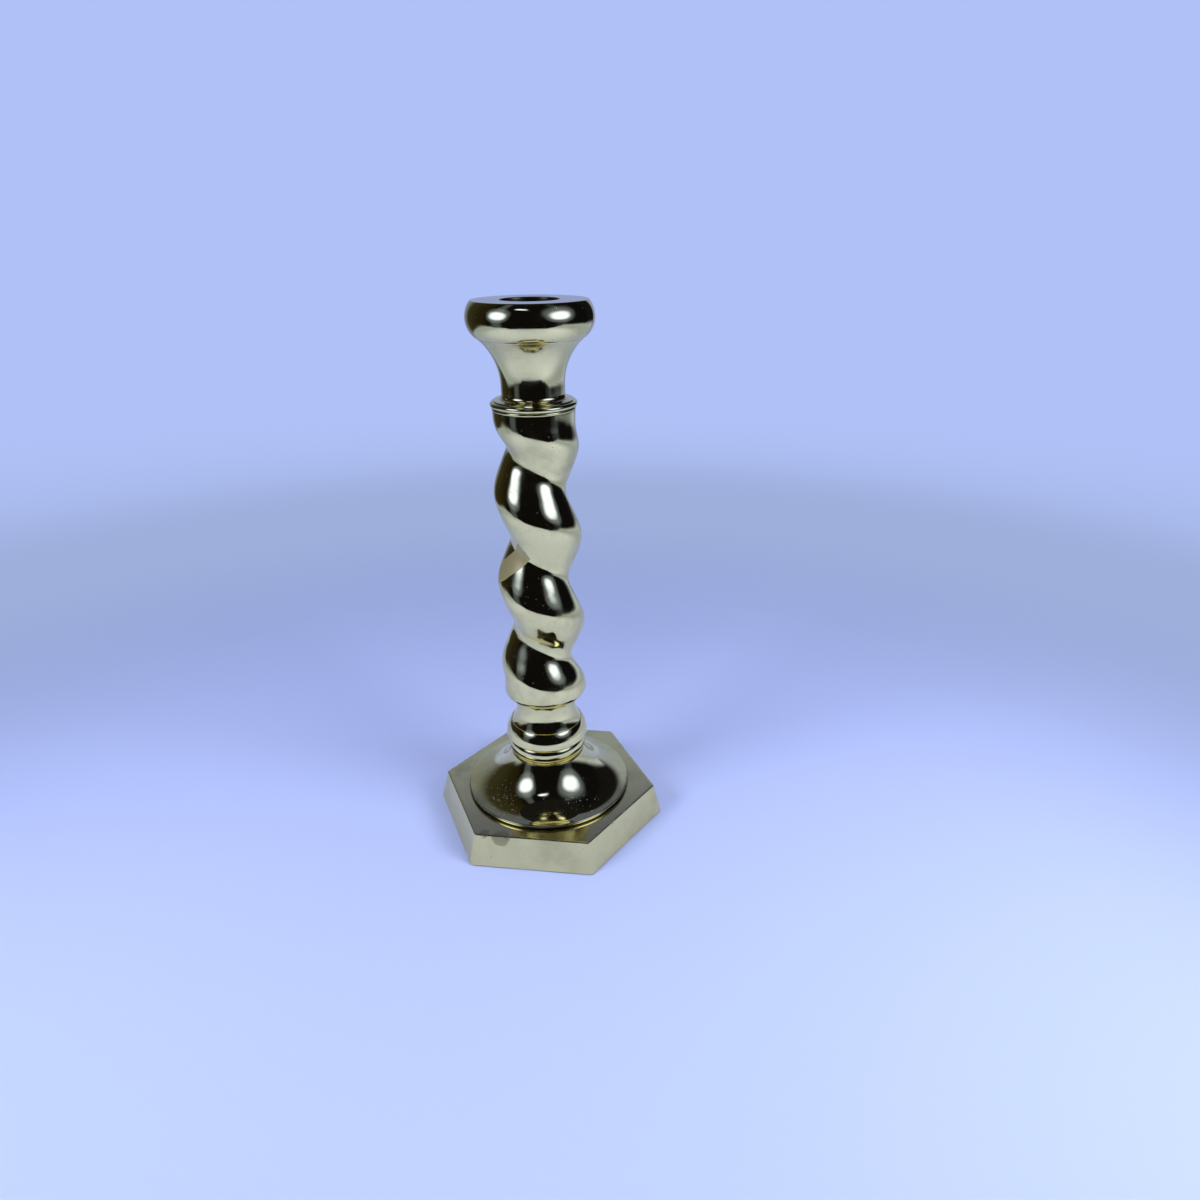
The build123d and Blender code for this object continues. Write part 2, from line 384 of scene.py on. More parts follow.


# Smudges and mop haze in soft areas with finer scratches in them, brown in the smudges, and brown oxide with
# painted shade in the recesses
def addPolish(tree, values, look, spot, lines, toolLines):
    cloud = addNode(tree, noiseNode, {
        "Vector": spot["place"], "Scale": 1 / values["smudgeSize"], "Detail": 5.0, "Roughness": 0.6})
    low, high = values["smudgeRange"]
    smudge = addNode(tree, rangeNode, {"Value": cloud, "From Min": low, "From Max": high}, **smooth)
    fine = addNode(tree, noiseNode, {"Vector": lines, "Scale": 2 / values["lineSize"]})
    low, high = values["scratchRange"]
    scratch = addNode(tree, rangeNode, {"Value": fine, "From Min": low, "From Max": high}, **smooth)
    hazed = addNode(tree, mathNode, {
        0: scratch, 1: values["scratchShare"], 2: smudge}, operation="MULTIPLY_ADD")
    layCoat(tree, look, hazed, {"Roughness": values["haze"]})

    # Ambient occlusion finds the recesses and paints them brown: oxide, and painted shade as well
    exposed = addNode(tree, "ShaderNodeAmbientOcclusion", {
        "Distance": values["recessReach"] * mm}, samples=6).outputs["AO"]
    low, high = values["recessRange"]
    recess = addNode(tree, rangeNode, {"Value": exposed, "From Min": low, "From Max": high}, **smooth)
    recessOxideAndShade = addNode(tree, mathNode, {0: recess, 1: values["oxideAndShadeDepth"]}, operation="MULTIPLY")
    tarnishAndShade = {"Base Color": hexToLinear(values["tarnishAndShade"])}
    layCoat(tree, look, recessOxideAndShade, tarnishAndShade | {"Roughness": values["tarnishRoughness"]})
    streaked = addNode(tree, mathNode, {0: smudge, 1: toolLines}, operation="MULTIPLY")
    faded = addNode(tree, mathNode, {0: streaked, 1: 2 * values["fade"]}, operation="MULTIPLY")
    layCoat(tree, look, faded, tarnishAndShade)


# The bored or cored inside keeps its tool marks and its brown
def addBore(tree, values, look, spot):
    bore = addNode(tree, rangeNode, {
        "Value": spot["radius"], "From Min": values["boreRadius"] + values["boreEdge"],
        "From Max": values["boreRadius"]}, **smooth)
    dulled = addNode(tree, mathNode, {0: bore, 1: values["boreDepth"]}, operation="MULTIPLY")
    layCoat(tree, look, dulled, {"Base Color": hexToLinear(values["bore"])})
    layCoat(tree, look, bore, {"Roughness": values["boreRoughness"]})


# Dust and pits, one here and there, thicker in the dusty places
def addSpecks(tree, values, look, spot):
    cells = addNode(tree, "ShaderNodeTexVoronoi", {
        "Vector": spot["place"], "Scale": 1 / values["speckSize"]}).outputs
    pick = addNode(tree, "ShaderNodeSeparateColor", {0: cells["Color"]}).outputs
    largest = values["speckRadius"] / values["speckSize"]
    big = addNode(tree, mathNode, {0: pick["Green"], 1: values["speckPower"]}, operation="POWER")
    size = addNode(tree, mixNode, {"Factor": big, "A": largest / values["speckSpread"], "B": largest})
    near = addNode(tree, mathNode, {0: cells["Distance"], 1: size}, operation="LESS_THAN")
    patches = addNode(tree, noiseNode, {"Vector": spot["place"], "Scale": 1 / values["crowdSize"]})
    low, high = values["crowdRange"]
    crowd = addNode(tree, rangeNode, {"Value": patches, "From Min": low, "From Max": high}, **smooth)
    for middle, reach in values["dustyPlaces"]:
        away = addNode(tree, vectorNode, {0: spot["place"], 1: middle}, operation="DISTANCE")
        dusty = addNode(tree, rangeNode, {"Value": away, "From Min": reach, "From Max": 0}, **smooth)
        crowd = addNode(tree, mathNode, {
            0: dusty, 1: values["dustyGain"], 2: crowd}, operation="MULTIPLY_ADD")
    dustShare = addNode(tree, mathNode, {0: crowd, 1: 2 * values["dustShare"]}, operation="MULTIPLY")
    dustPick = addNode(tree, mathNode, {0: pick["Red"], 1: dustShare}, operation="LESS_THAN")
    pitPick = addNode(tree, mathNode, {0: pick["Red"], 1: 1 - values["pitShare"]}, operation="GREATER_THAN")
    dustSpeck = addNode(tree, mathNode, {0: near, 1: dustPick}, operation="MULTIPLY")
    settled = addNode(tree, mixNode, {"Factor": pick["Blue"], "A": values["faintDust"], "B": 1.0})
    dust = addNode(tree, mathNode, {0: dustSpeck, 1: settled}, operation="MULTIPLY")
    pit = addNode(tree, mathNode, {0: near, 1: pitPick}, operation="MULTIPLY")
    specks = addNode(tree, mathNode, {0: dust, 1: pit}, operation="MAXIMUM")
    layCoat(tree, look, dust, {"Base Color": hexToLinear(values["dust"]), "Metallic": 0.0})
    layCoat(tree, look, pit, {"Base Color": hexToLinear(values["pit"])})
    layCoat(tree, look, specks, {"Roughness": values["speckRoughness"]})


# Spots of old polish or a drip, with a soft wandering edge
def addStains(tree, values, look, spot):
    wander = addNode(tree, noiseNode, {
        "Vector": spot["place"], "Scale": 1 / values["wanderSize"], "Detail": 3.0})
    for middle, size in values["stains"]:
        away = addNode(tree, vectorNode, {0: spot["place"], 1: middle}, operation="DISTANCE")
        edge = addNode(tree, mathNode, {
            0: wander, 1: values["wanderDepth"], 2: away}, operation="MULTIPLY_ADD")
        low, high = (size + more for more in values["stainEdge"])
        whole = addNode(tree, rangeNode, {"Value": edge, "From Min": low, "From Max": high}, **smooth)
        low, high = (size + more for more in values["innerEdge"])
        inner = addNode(tree, rangeNode, {"Value": edge, "From Min": low, "From Max": high}, **smooth)
        strong = addNode(tree, mathNode, {0: whole, 1: values["stainShare"]}, operation="MULTIPLY")
        share = addNode(tree, mathNode, {
            0: inner, 1: values["innerShare"], 2: strong}, operation="MULTIPLY_ADD")
        layCoat(tree, look, share, {
            "Base Color": hexToLinear(values["stainColor"]), "Roughness": values["stainRoughness"]})


# A strip of old lacquer that the mop left, laid on the column's skin unrolled
def addPatch(tree, patch, look, spot):
    along = addNode(tree, mathNode, {0: spot["angle"], 1: patch["arcRadius"]}, operation="MULTIPLY")
    unrolled = addNode(tree, "ShaderNodeCombineXYZ", {"X": along, "Y": spot["height"]})
    laid = addNode(tree, "ShaderNodeMapping", {
        "Vector": unrolled, "Location": (patch["arc"], patch["height"], 0),
        "Rotation": (0, 0, radians(patch["turnDeg"]))}, vector_type="TEXTURE")
    sides = addNode(tree, "ShaderNodeSeparateXYZ", {0: laid}).outputs
    ragged = addNode(tree, noiseNode, {
        "Vector": spot["place"], "Scale": 1 / patch["tearSize"], "Detail": 3.0})
    left = None
    for side, half in (("X", patch["length"] / 2), ("Y", patch["width"] / 2)):
        out = addNode(tree, mathNode, {0: sides[side]}, operation="ABSOLUTE")
        torn = addNode(tree, mathNode, {
            0: ragged, 1: patch["tearDepth"], 2: out}, operation="MULTIPLY_ADD")
        low, high = (half + more for more in patch["edge"])
        kept = addNode(tree, rangeNode, {"Value": torn, "From Min": low, "From Max": high}, **smooth)
        left = addNode(tree, mathNode, {0: kept, 1: left or 1.0}, operation="MULTIPLY")
    layCoat(tree, look, left, {
        "Base Color": hexToLinear(patch["color"]),
        "Roughness": patch["roughness"],
        "Metallic": patch["metallic"],
    })


# The plinth's hollow as it came out of the sand, found by the distance to the nearest of the six sides
def addSandSkin(tree, values, look, spot, normal):
    flat = 0.0
    for turn in (pi / 6, pi / 2, pi * 5 / 6):
        side = addNode(tree, vectorNode, {
            0: spot["place"], 1: (cos(turn), sin(turn), 0)}, operation="DOT_PRODUCT")
        out = addNode(tree, mathNode, {0: side}, operation="ABSOLUTE")
        flat = addNode(tree, mathNode, {0: out, 1: flat}, operation="MAXIMUM")
    drafted = addNode(tree, mathNode, {
        0: spot["height"], 1: values["draft"], 2: flat}, operation="MULTIPLY_ADD")
    low, high = (values["hollowReach"] + more for more in values["castSideEdge"])
    within = addNode(tree, rangeNode, {"Value": drafted, "From Min": low, "From Max": high}, **smooth)
    low, high = (values["hollowTop"] + more for more in values["castRoofEdge"])
    under = addNode(tree, rangeNode, {"Value": spot["height"], "From Min": low, "From Max": high}, **smooth)
    cast = addNode(tree, mathNode, {0: within, 1: under}, operation="MULTIPLY")
    layCoat(tree, look, cast, {
        "Base Color": hexToLinear(values["castColor"]), "Roughness": values["castRoughness"]})
    sand = addNode(tree, noiseNode, {
        "Vector": spot["place"], "Scale": 1 / values["castGrain"], "Detail": 4.0, "Roughness": 0.6})
    grain = addNode(tree, mathNode, {0: cast, 1: sand}, operation="MULTIPLY")
    return addNode(tree, "ShaderNodeBump", {
        "Height": grain, "Distance": values["castDepth"] * mm, "Normal": normal})


def makeBrass(values):
    values = brassColors | brassWear | values
    material, tree = startMaterial(values["name"])
    coords = addNode(tree, "ShaderNodeTexCoord").outputs["Object"]
    place = addNode(tree, vectorNode, {0: coords, "Scale": 1 / mm}, operation="SCALE")
    parts = addNode(tree, "ShaderNodeSeparateXYZ", {0: place}).outputs
    ground = addNode(tree, vectorNode, {0: place, 1: (1, 1, 0)}, operation="MULTIPLY")
    spot = {
        "place": place,
        "height": parts["Z"],
        "radius": addNode(tree, vectorNode, {0: ground}, operation="LENGTH"),
        "angle": addNode(tree, mathNode, {0: parts["Y"], 1: parts["X"]}, operation="ARCTAN2"),
    }
    lines = followTool(tree, values, spot)
    toolLines = addNode(tree, noiseNode, {"Vector": lines, "Scale": 1 / values["lineSize"], "Detail": 3.0})
    look = {"Base Color": hexToLinear(values["metal"]), "Metallic": 1.0, "Roughness": values["polish"]}
    addPolish(tree, values, look, spot, lines, toolLines)
    if values["boreRadius"]:
        addBore(tree, values, look, spot)
    addSpecks(tree, values, look, spot)
    if "stains" in values:
        addStains(tree, values, look, spot)
    if "patch" in values:
        addPatch(tree, values["patch"], look, spot)

    lined = addNode(tree, "ShaderNodeBump", {"Height": toolLines, "Distance": values["lineDepth"] * mm})
    wave = addNode(tree, noiseNode, {"Vector": place, "Scale": 1 / values["waveSize"], "Detail": 1.0})
    normal = addNode(tree, "ShaderNodeBump", {
        "Height": wave, "Distance": values["waveDepth"] * mm, "Normal": lined})
    if "castColor" in values:
        normal = addSandSkin(tree, values, look, spot, normal)
    shader = addNode(tree, "ShaderNodeBsdfPrincipled", look | {"Normal": normal})
    addNode(tree, "ShaderNodeOutputMaterial", {"Surface": shader})
    print("made the material", values["name"])
    return material


# Steel fasteners with a bright zinc plate: cool grey, slightly cloudy, duller than the brass
steelFinish = {
    "pale": "#C9CDD2",
    "dull": "#8E9296",
    "bright": 0.20,
    "cloudy": 0.38,
    "cloudSize": 2.2,
    "cloudRange": (0.4, 0.7),
    "grainSize": 0.18,
    "grainDepth": 0.004,
}


def makeSteel(values):
    material, tree = startMaterial("zincPlatedSteel")
    coords = addNode(tree, "ShaderNodeTexCoord").outputs["Object"]
    place = addNode(tree, vectorNode, {0: coords, "Scale": 1 / mm}, operation="SCALE")
    cloud = addNode(tree, noiseNode, {"Vector": place, "Scale": 1 / values["cloudSize"], "Detail": 4.0})
    low, high = values["cloudRange"]
    share = addNode(tree, rangeNode, {"Value": cloud, "From Min": low, "From Max": high}, **smooth)
    look = {"Base Color": hexToLinear(values["pale"]), "Metallic": 1.0, "Roughness": values["bright"]}
    layCoat(tree, look, share, {"Base Color": hexToLinear(values["dull"]), "Roughness": values["cloudy"]})
    grain = addNode(tree, noiseNode, {"Vector": place, "Scale": 1 / values["grainSize"], "Detail": 1.0})
    bump = addNode(tree, "ShaderNodeBump", {"Height": grain, "Distance": values["grainDepth"] * mm})
    shader = addNode(tree, "ShaderNodeBsdfPrincipled", look | {"Normal": bump})
    addNode(tree, "ShaderNodeOutputMaterial", {"Surface": shader})
    print("made the material", material.name)
    return material


steel = makeSteel(steelFinish)
turnedBrass = makeBrass(turnedFinish)

# Hexagonal plinth, corner on +X
plinthValues = {
    "footRadius": 53.3,  # to a corner, at the table
    "topRadius": 49.5,
    "wall": 5.0,
    "deck": 4.6,
    "recessDepth": 1.8,
    "cornerRound": 1.2,
    "footCornerRound": 2.2,  # the corners grow rounder towards the table
    "topRound": 0.45,
    "footRound": 0.6,
    # middle, way out of the side, reach and depth of each nick in the edges
    "nicks": (
        ((33.0, -28.2, 14.2), (0.80, -0.46, 0.40), 1.0, 0.30),
        ((37.6, -20.3, 14.2), (0.80, -0.46, 0.40), 0.8, 0.25),
        ((40.6, -15.0, 14.2), (0.80, -0.46, 0.40), 0.6, 0.20),
        ((34.1, -29.2, 6.2), (0.84, -0.48, 0.25), 0.7, 0.22),
        ((39.6, -21.0, 3.0), (0.84, -0.48, 0.25), 0.9, 0.16),
        ((43.9, -13.2, 6.0), (0.84, -0.48, 0.25), 0.8, 0.18),
        ((-11.0, -42.9, 14.2), (0.0, -0.80, 0.60), 0.6, 0.20),
        ((-46.3, -5.4, 14.2), (-0.75, -0.43, 0.50), 0.7, 0.20),
    ),
    "nickCuts": 3,
    "flatRadius": 36.0,  # where the rings on the top face change from hexagons to circles
    "sideSteps": 48,
    "cornerSteps": 8,
}


# A level hexagon with rounded corners
def hexRing(reach, height, rounding, values):
    centre = reach - rounding / cos(pi / 6)
    sideSteps, cornerSteps = values["sideSteps"], values["cornerSteps"]
    corners = []
    for corner in range(6):
        middle = corner * pi / 3
        pivotX, pivotY = centre * cos(middle), centre * sin(middle)
        points = []
        for step in range(cornerSteps + 1):
            swing = middle + pi / 3 * (step / cornerSteps - 0.5)
            points.append(Vector((pivotX + rounding * cos(swing), pivotY + rounding * sin(swing), height)))
        corners.append(points)
    ring = []
    for points, nextPoints in zip(corners, corners[1:] + corners[:1]):
        ring += points[:-1]
        ring += [points[-1].lerp(nextPoints[0], step / sideSteps) for step in range(sideSteps)]
    return ring


# Small dents where the edges were knocked, in faces cut finer for them
def addNicks(mesh, values):
    work = bmesh.new()
    work.from_mesh(mesh)
    for middle, way, reach, depth in values["nicks"]:
        middle = Vector(middle) * mm
        reach *= mm
        around = [face for face in work.faces if (face.calc_center_median() - middle).length < 2 * reach]
        edges = list({edge for face in around for edge in face.edges})
        bmesh.ops.subdivide_edges(work, edges=edges, cuts=values["nickCuts"], use_grid_fill=True)
        for point in work.verts:
            away = (point.co - middle).length / reach
            if away < 1:
                point.co -= Vector(way).normalized() * depth * mm * (1 - away * away) ** 2
    work.to_mesh(mesh)
    work.free()
    return finishMesh(mesh)


def makePlinth(values):
    wall = values["wall"] / cos(pi / 6)
    deckUnder = plinthTop - values["deck"]
    draft = (values["footRadius"] - values["topRadius"]) / plinthTop
    hollowFoot = (values["footRadius"] - wall, 0)
    hollowTop = (values["footRadius"] - draft * deckUnder - wall, deckUnder)
    foot = (values["footRadius"], 0)
    top = (values["topRadius"], plinthTop)
    outside = joinStretches(
        straights((values["flatRadius"] - wall, deckUnder), hollowTop, hollowFoot, foot, top,
                  (values["flatRadius"], plinthTop)),
        {3: values["footRound"], 4: values["topRound"]}, closed=False)
    recess, hole = fitValues["recessRadius"], fitValues["rodHoleRadius"]
    recessFloor = plinthTop - values["recessDepth"]
    inside = joinStretches(
        straights((recess + values["wall"], plinthTop), (recess, plinthTop), (recess, recessFloor),
                  (hole, recessFloor), (hole, deckUnder), (recess, deckUnder)),
        closed=False)
    rings = []
    for reach, height in outside:
        low = max(0, 1 - height / plinthTop) * (values["footCornerRound"] - values["cornerRound"])
        rings.append(hexRing(reach, height, values["cornerRound"] + low, values))
    turns = [atan2(point.y, point.x) for point in rings[0]]
    for radius, height in inside:
        rings.append([(radius * cos(turn), radius * sin(turn), height) for turn in turns])
    return addNicks(skinRings("plinthCasting", rings), values)


# Where the material finds the plinth's hollow
hollowShape = {
    "draft": (plinthValues["footRadius"] - plinthValues["topRadius"]) / plinthTop * cos(pi / 6),
    "hollowReach": plinthValues["footRadius"] * cos(pi / 6) - plinthValues["wall"],
    "hollowTop": plinthTop - plinthValues["deck"],
}
linishedBrass = makeBrass(plinthFinish | hollowShape)
addPiece("plinthCasting", makePlinth(plinthValues), linishedBrass, "hex_plinth")

# Bell foot
bellValues = {
    "flangeRadius": 37.0,
    "edgeHeight": 1.9,
    "edgeRound": 0.85,
    "sideRound": 0.2125,  # where the cut foot turns into the side
    "footCut": 0.75,  # the flange's foot is cut back, which leaves a dark line under its edge
    "neckRadius": 16.4,
    "flareRadius": 27.5,
    "coreRadius": 10.9,
    "roof": 5.0,
    "pilotDepth": 1.5,
    "tenonHeight": 5.7,  # above the knop's foot
}


def makeBell(values):
    pilot, core, hole = fitValues["pilotRadius"], values["coreRadius"], fitValues["rodHoleRadius"]
    tenon, tenonTop = fitValues["tenonRadius"], knopFoot + values["tenonHeight"]
    pilotBase, roofUnder = plinthTop - values["pilotDepth"], collarFoot - values["roof"]
    edge = Vector((values["flangeRadius"], plinthTop + values["edgeHeight"]))
    cut = (values["flangeRadius"] - values["footCut"], plinthTop)
    side = (values["flangeRadius"], plinthTop + values["footCut"])
    neck = Vector((values["neckRadius"], collarFoot))
    chord = neck - edge
    # the flare leaves the flange this much flatter than the chord from there to the neck
    lean = asin(chord.length / 2 / values["flareRadius"])
    flare = arc(edge, neck, Matrix.Rotation(lean, 2) @ chord.normalized())
    return turnOutline("bellTurning", joinStretches([
        *straights((core, pilotBase), (pilot, pilotBase), (pilot, plinthTop), cut, side, edge),
        flare,
        *straights(neck, (tenon, collarFoot), (tenon, tenonTop), (hole, tenonTop), (hole, roofUnder),
                   (core, roofUnder), (core, pilotBase)),
    ], {4: values["sideRound"], 5: values["edgeRound"]}))


addPiece("bellTurning", makeBell(bellValues), turnedBrass, "bell_foot")

# Collar on the bell's neck
collarValues = {"footRadius": 16.1, "radius": 17.3, "widest": 5.0, "crownRadius": 15.9}


def makeCollar(values):
    bore = fitValues["boreRadius"]
    foot = (values["footRadius"], collarFoot)
    widest = (values["radius"], collarFoot + values["widest"])
    crown = (values["crownRadius"], knopFoot)
    return turnOutline("footCollarTurning", joinStretches([
        *swell(foot, widest, crown),
        *straights(crown, (bore, knopFoot), (bore, collarFoot), foot),
    ]))


addPiece("footCollarTurning", makeCollar(collarValues), turnedBrass, "foot_collar")

# Knop: undercut bead, fine line and waisted neck
knopValues = {
    "grooveRadius": 15.6,
    "grooveHeight": 0.7,
    "beadRadius": 18.3,
    "lipRadius": 17.8,
    "lipHeight": 0.2,
    "widest": 1.7,
    "beadTop": 8.5,
    "beadTopRadius": 15.9,
    "neckFootRadius": 15.5,
    "neckRadius": 13.2,
    "neckWaist": 16.8,
    "neckTopRadius": 13.9,
    "socketDepth": 6.0,
    "tenonHeight": 5.7,
}


def makeKnop(values):
    bore, tenon, hole = fitValues["boreRadius"], fitValues["tenonRadius"], fitValues["rodHoleRadius"]
    groove, grooveTop = values["grooveRadius"], knopFoot + values["grooveHeight"]
    lip = (values["lipRadius"], grooveTop + values["lipHeight"])
    widest = (values["beadRadius"], knopFoot + values["widest"])
    beadTop = (values["beadTopRadius"], knopFoot + values["beadTop"])
    neckFoot = (values["neckFootRadius"], knopFoot + values["beadTop"])
    waist = (values["neckRadius"], knopFoot + values["neckWaist"])
    neckTop = (values["neckTopRadius"], columnFoot)
    tenonTop, socketTop = columnFoot + values["tenonHeight"], knopFoot + values["socketDepth"]
    return turnOutline("knopTurning", joinStretches([
        *straights((bore, knopFoot), (groove, knopFoot), (groove, grooveTop), lip),
        *swell(lip, widest, beadTop),
        straight(beadTop, neckFoot),
        *swell(neckFoot, waist, neckTop),
        *straights(neckTop, (tenon, columnFoot), (tenon, tenonTop), (hole, tenonTop), (hole, socketTop),
                   (bore, socketTop), (bore, knopFoot)),
    ]))


addPiece("knopTurning", makeKnop(knopValues), turnedBrass, "knop")

# Ring on top of the column
ringValues = {
    "thinRadius": 16.3,
    "thinHeight": 1.3,
    "grooveRadius": 15.8,
    "beadRadius": 16.9,
    "beadHeight": 2.2,
    "crownRadius": 15.5,
    "crownDrop": 0.4,
    "innerRadius": 13.6,
}


# A bead's side as one stretch, out from the groove to its widest point and back
def beadSide(groove, widest, low, high):
    lower, upper = swell((groove, low), (widest, (low + high) / 2), (groove, high))
    return lower + upper[1:]


def makeRing(values):
    bore, groove = fitValues["boreRadius"], values["grooveRadius"]
    thinTop = columnHead + values["thinHeight"]
    beadTop = thinTop + values["beadHeight"]
    crown = (values["crownRadius"], ringHead - values["crownDrop"])
    inner = (values["innerRadius"], ringHead)
    return turnOutline("ringTurning", joinStretches([
        straight((bore, columnHead), (groove, columnHead)),
        beadSide(groove, values["thinRadius"], columnHead, thinTop),
        beadSide(groove, values["beadRadius"], thinTop, beadTop),
        *straights((groove, beadTop), crown, inner, (bore, ringHead), (bore, columnHead)),
    ]))


addPiece("ringTurning", makeRing(ringValues), turnedBrass, "collar_ring")

# Cup
cupValues = {
    "footRadius": 13.6,
    "footHeight": 1.7,  # of the small hollow at the foot
    "waistRadius": 12.3,
    "waist": 4.9,
    "headRadius": 20.4,
    "headRound": 0.45,  # with the rim's foot it leaves the fine line between the two
    "nozzleHeight": 4.0,
    "tappedDepth": 8.3,
    "tenonDepth": 5.7,
    "socketRadius": 11.1,
    "socketDepth": 22.0,
    "poleRadius": 0.5,  # the flat cap at the middle of the socket's floor
}


def makeCup(values):
    pole, tapped = values["poleRadius"], fitValues["rodRadius"] + fitValues["threadGap"]
    tenon, nozzle, socket = fitValues["tenonRadius"], fitValues["pilotRadius"], values["socketRadius"]
    tenonBase, tappedTop = columnHead - values["tenonDepth"], ringHead + values["tappedDepth"]
    nozzleTop, socketFloor = rimFoot + values["nozzleHeight"], rimHead - values["socketDepth"]
    foot = (values["footRadius"], ringHead)
    stem = (values["waistRadius"], ringHead + values["footHeight"])
    waist = (values["waistRadius"], ringHead + values["waist"])
    head = (values["headRadius"], rimFoot)
    return turnOutline("cupTurning", joinStretches([
        *straights((pole, tappedTop), (tapped, tappedTop), (tapped, tenonBase), (tenon, tenonBase),
                   (tenon, ringHead), foot),
        arc(stem, foot, (0, -1))[::-1],
        straight(stem, waist),
        arc(waist, head, (0, 1)),
        *straights(head, (nozzle, rimFoot), (nozzle, nozzleTop), (socket, nozzleTop), (socket, socketFloor),
                   (pole, socketFloor)),
    ], {8: values["headRound"]}, closed=False), closed=False)


addPiece("cupTurning", makeCup(cupValues), turnedBrass, "candle_cup")

# Rim with the candle hole
rimValues = {
    "footRadius": 20.6,
    "radius": 24.15,
    "widest": 7.1,
    "topRadius": 21.9,
    "topRound": 0.25,
    "footRound": 0.35,
    "socketRadius": 11.1,
    "socketRound": 0.5,
    "nozzleHeight": 4.3,
}


def makeRim(values):
    socket, seat = values["socketRadius"], fitValues["recessRadius"]
    seatTop = rimFoot + values["nozzleHeight"]
    foot = (values["footRadius"], rimFoot)
    widest = (values["radius"], rimFoot + values["widest"])
    top = (values["topRadius"], rimHead)
    edge = (socket + values["socketRound"], rimHead)
    mouth = (socket, rimHead - values["socketRound"])
    return turnOutline("rimTurning", joinStretches([
        *swell(foot, widest, top),
        straight(top, edge),
        arc(edge, mouth, (-1, 0)),
        *straights(mouth, (socket, seatTop), (seat, seatTop), (seat, rimFoot), foot),
    ], {0: values["footRound"], 2: values["topRound"]}))


addPiece("rimTurning", makeRim(rimValues), turnedBrass, "cup_rim")

# Twisted column: every level section is a circle whose centre circles the axis
columnValues = {
    "Foot Radius": 18.6,
    "Shaft Radius": 17.0,
    "Head Radius": 16.1,
    "Lip Round": 5.4,
    "Lead": 38.3,
    "Throw Foot": 2.82,
    "Throw Head": 2.30,
    "Fade Foot": 21.9,
    "Fade Head": 15.9,
    "Valley Depth": 1.1,  # how much tighter the hollow runs between the strands
    "Bore Radius": 8.0,
}
columnCounts = {"Around": 240, "Lip Rows": 16, "Shaft Rows": 300}
columnValleyPower = 4  # a higher power makes the hollow narrower
columnStartDeg = -6.8  # where the crest stands at the column's foot

# The tables below give a name, an operation, then what it works on: an input, an earlier name or a number
# How many rows and points the grid has; rows run up the outside, then back to the foot along the bore
columnGrid = (
    ("outerRows", "ADD", "Lip Rows", "Shaft Rows"),
    ("lastRow", "ADD", "outerRows", 3),
    ("rowCount", "ADD", "lastRow", 1),
    ("columnCount", "ADD", "Around", 1),
)
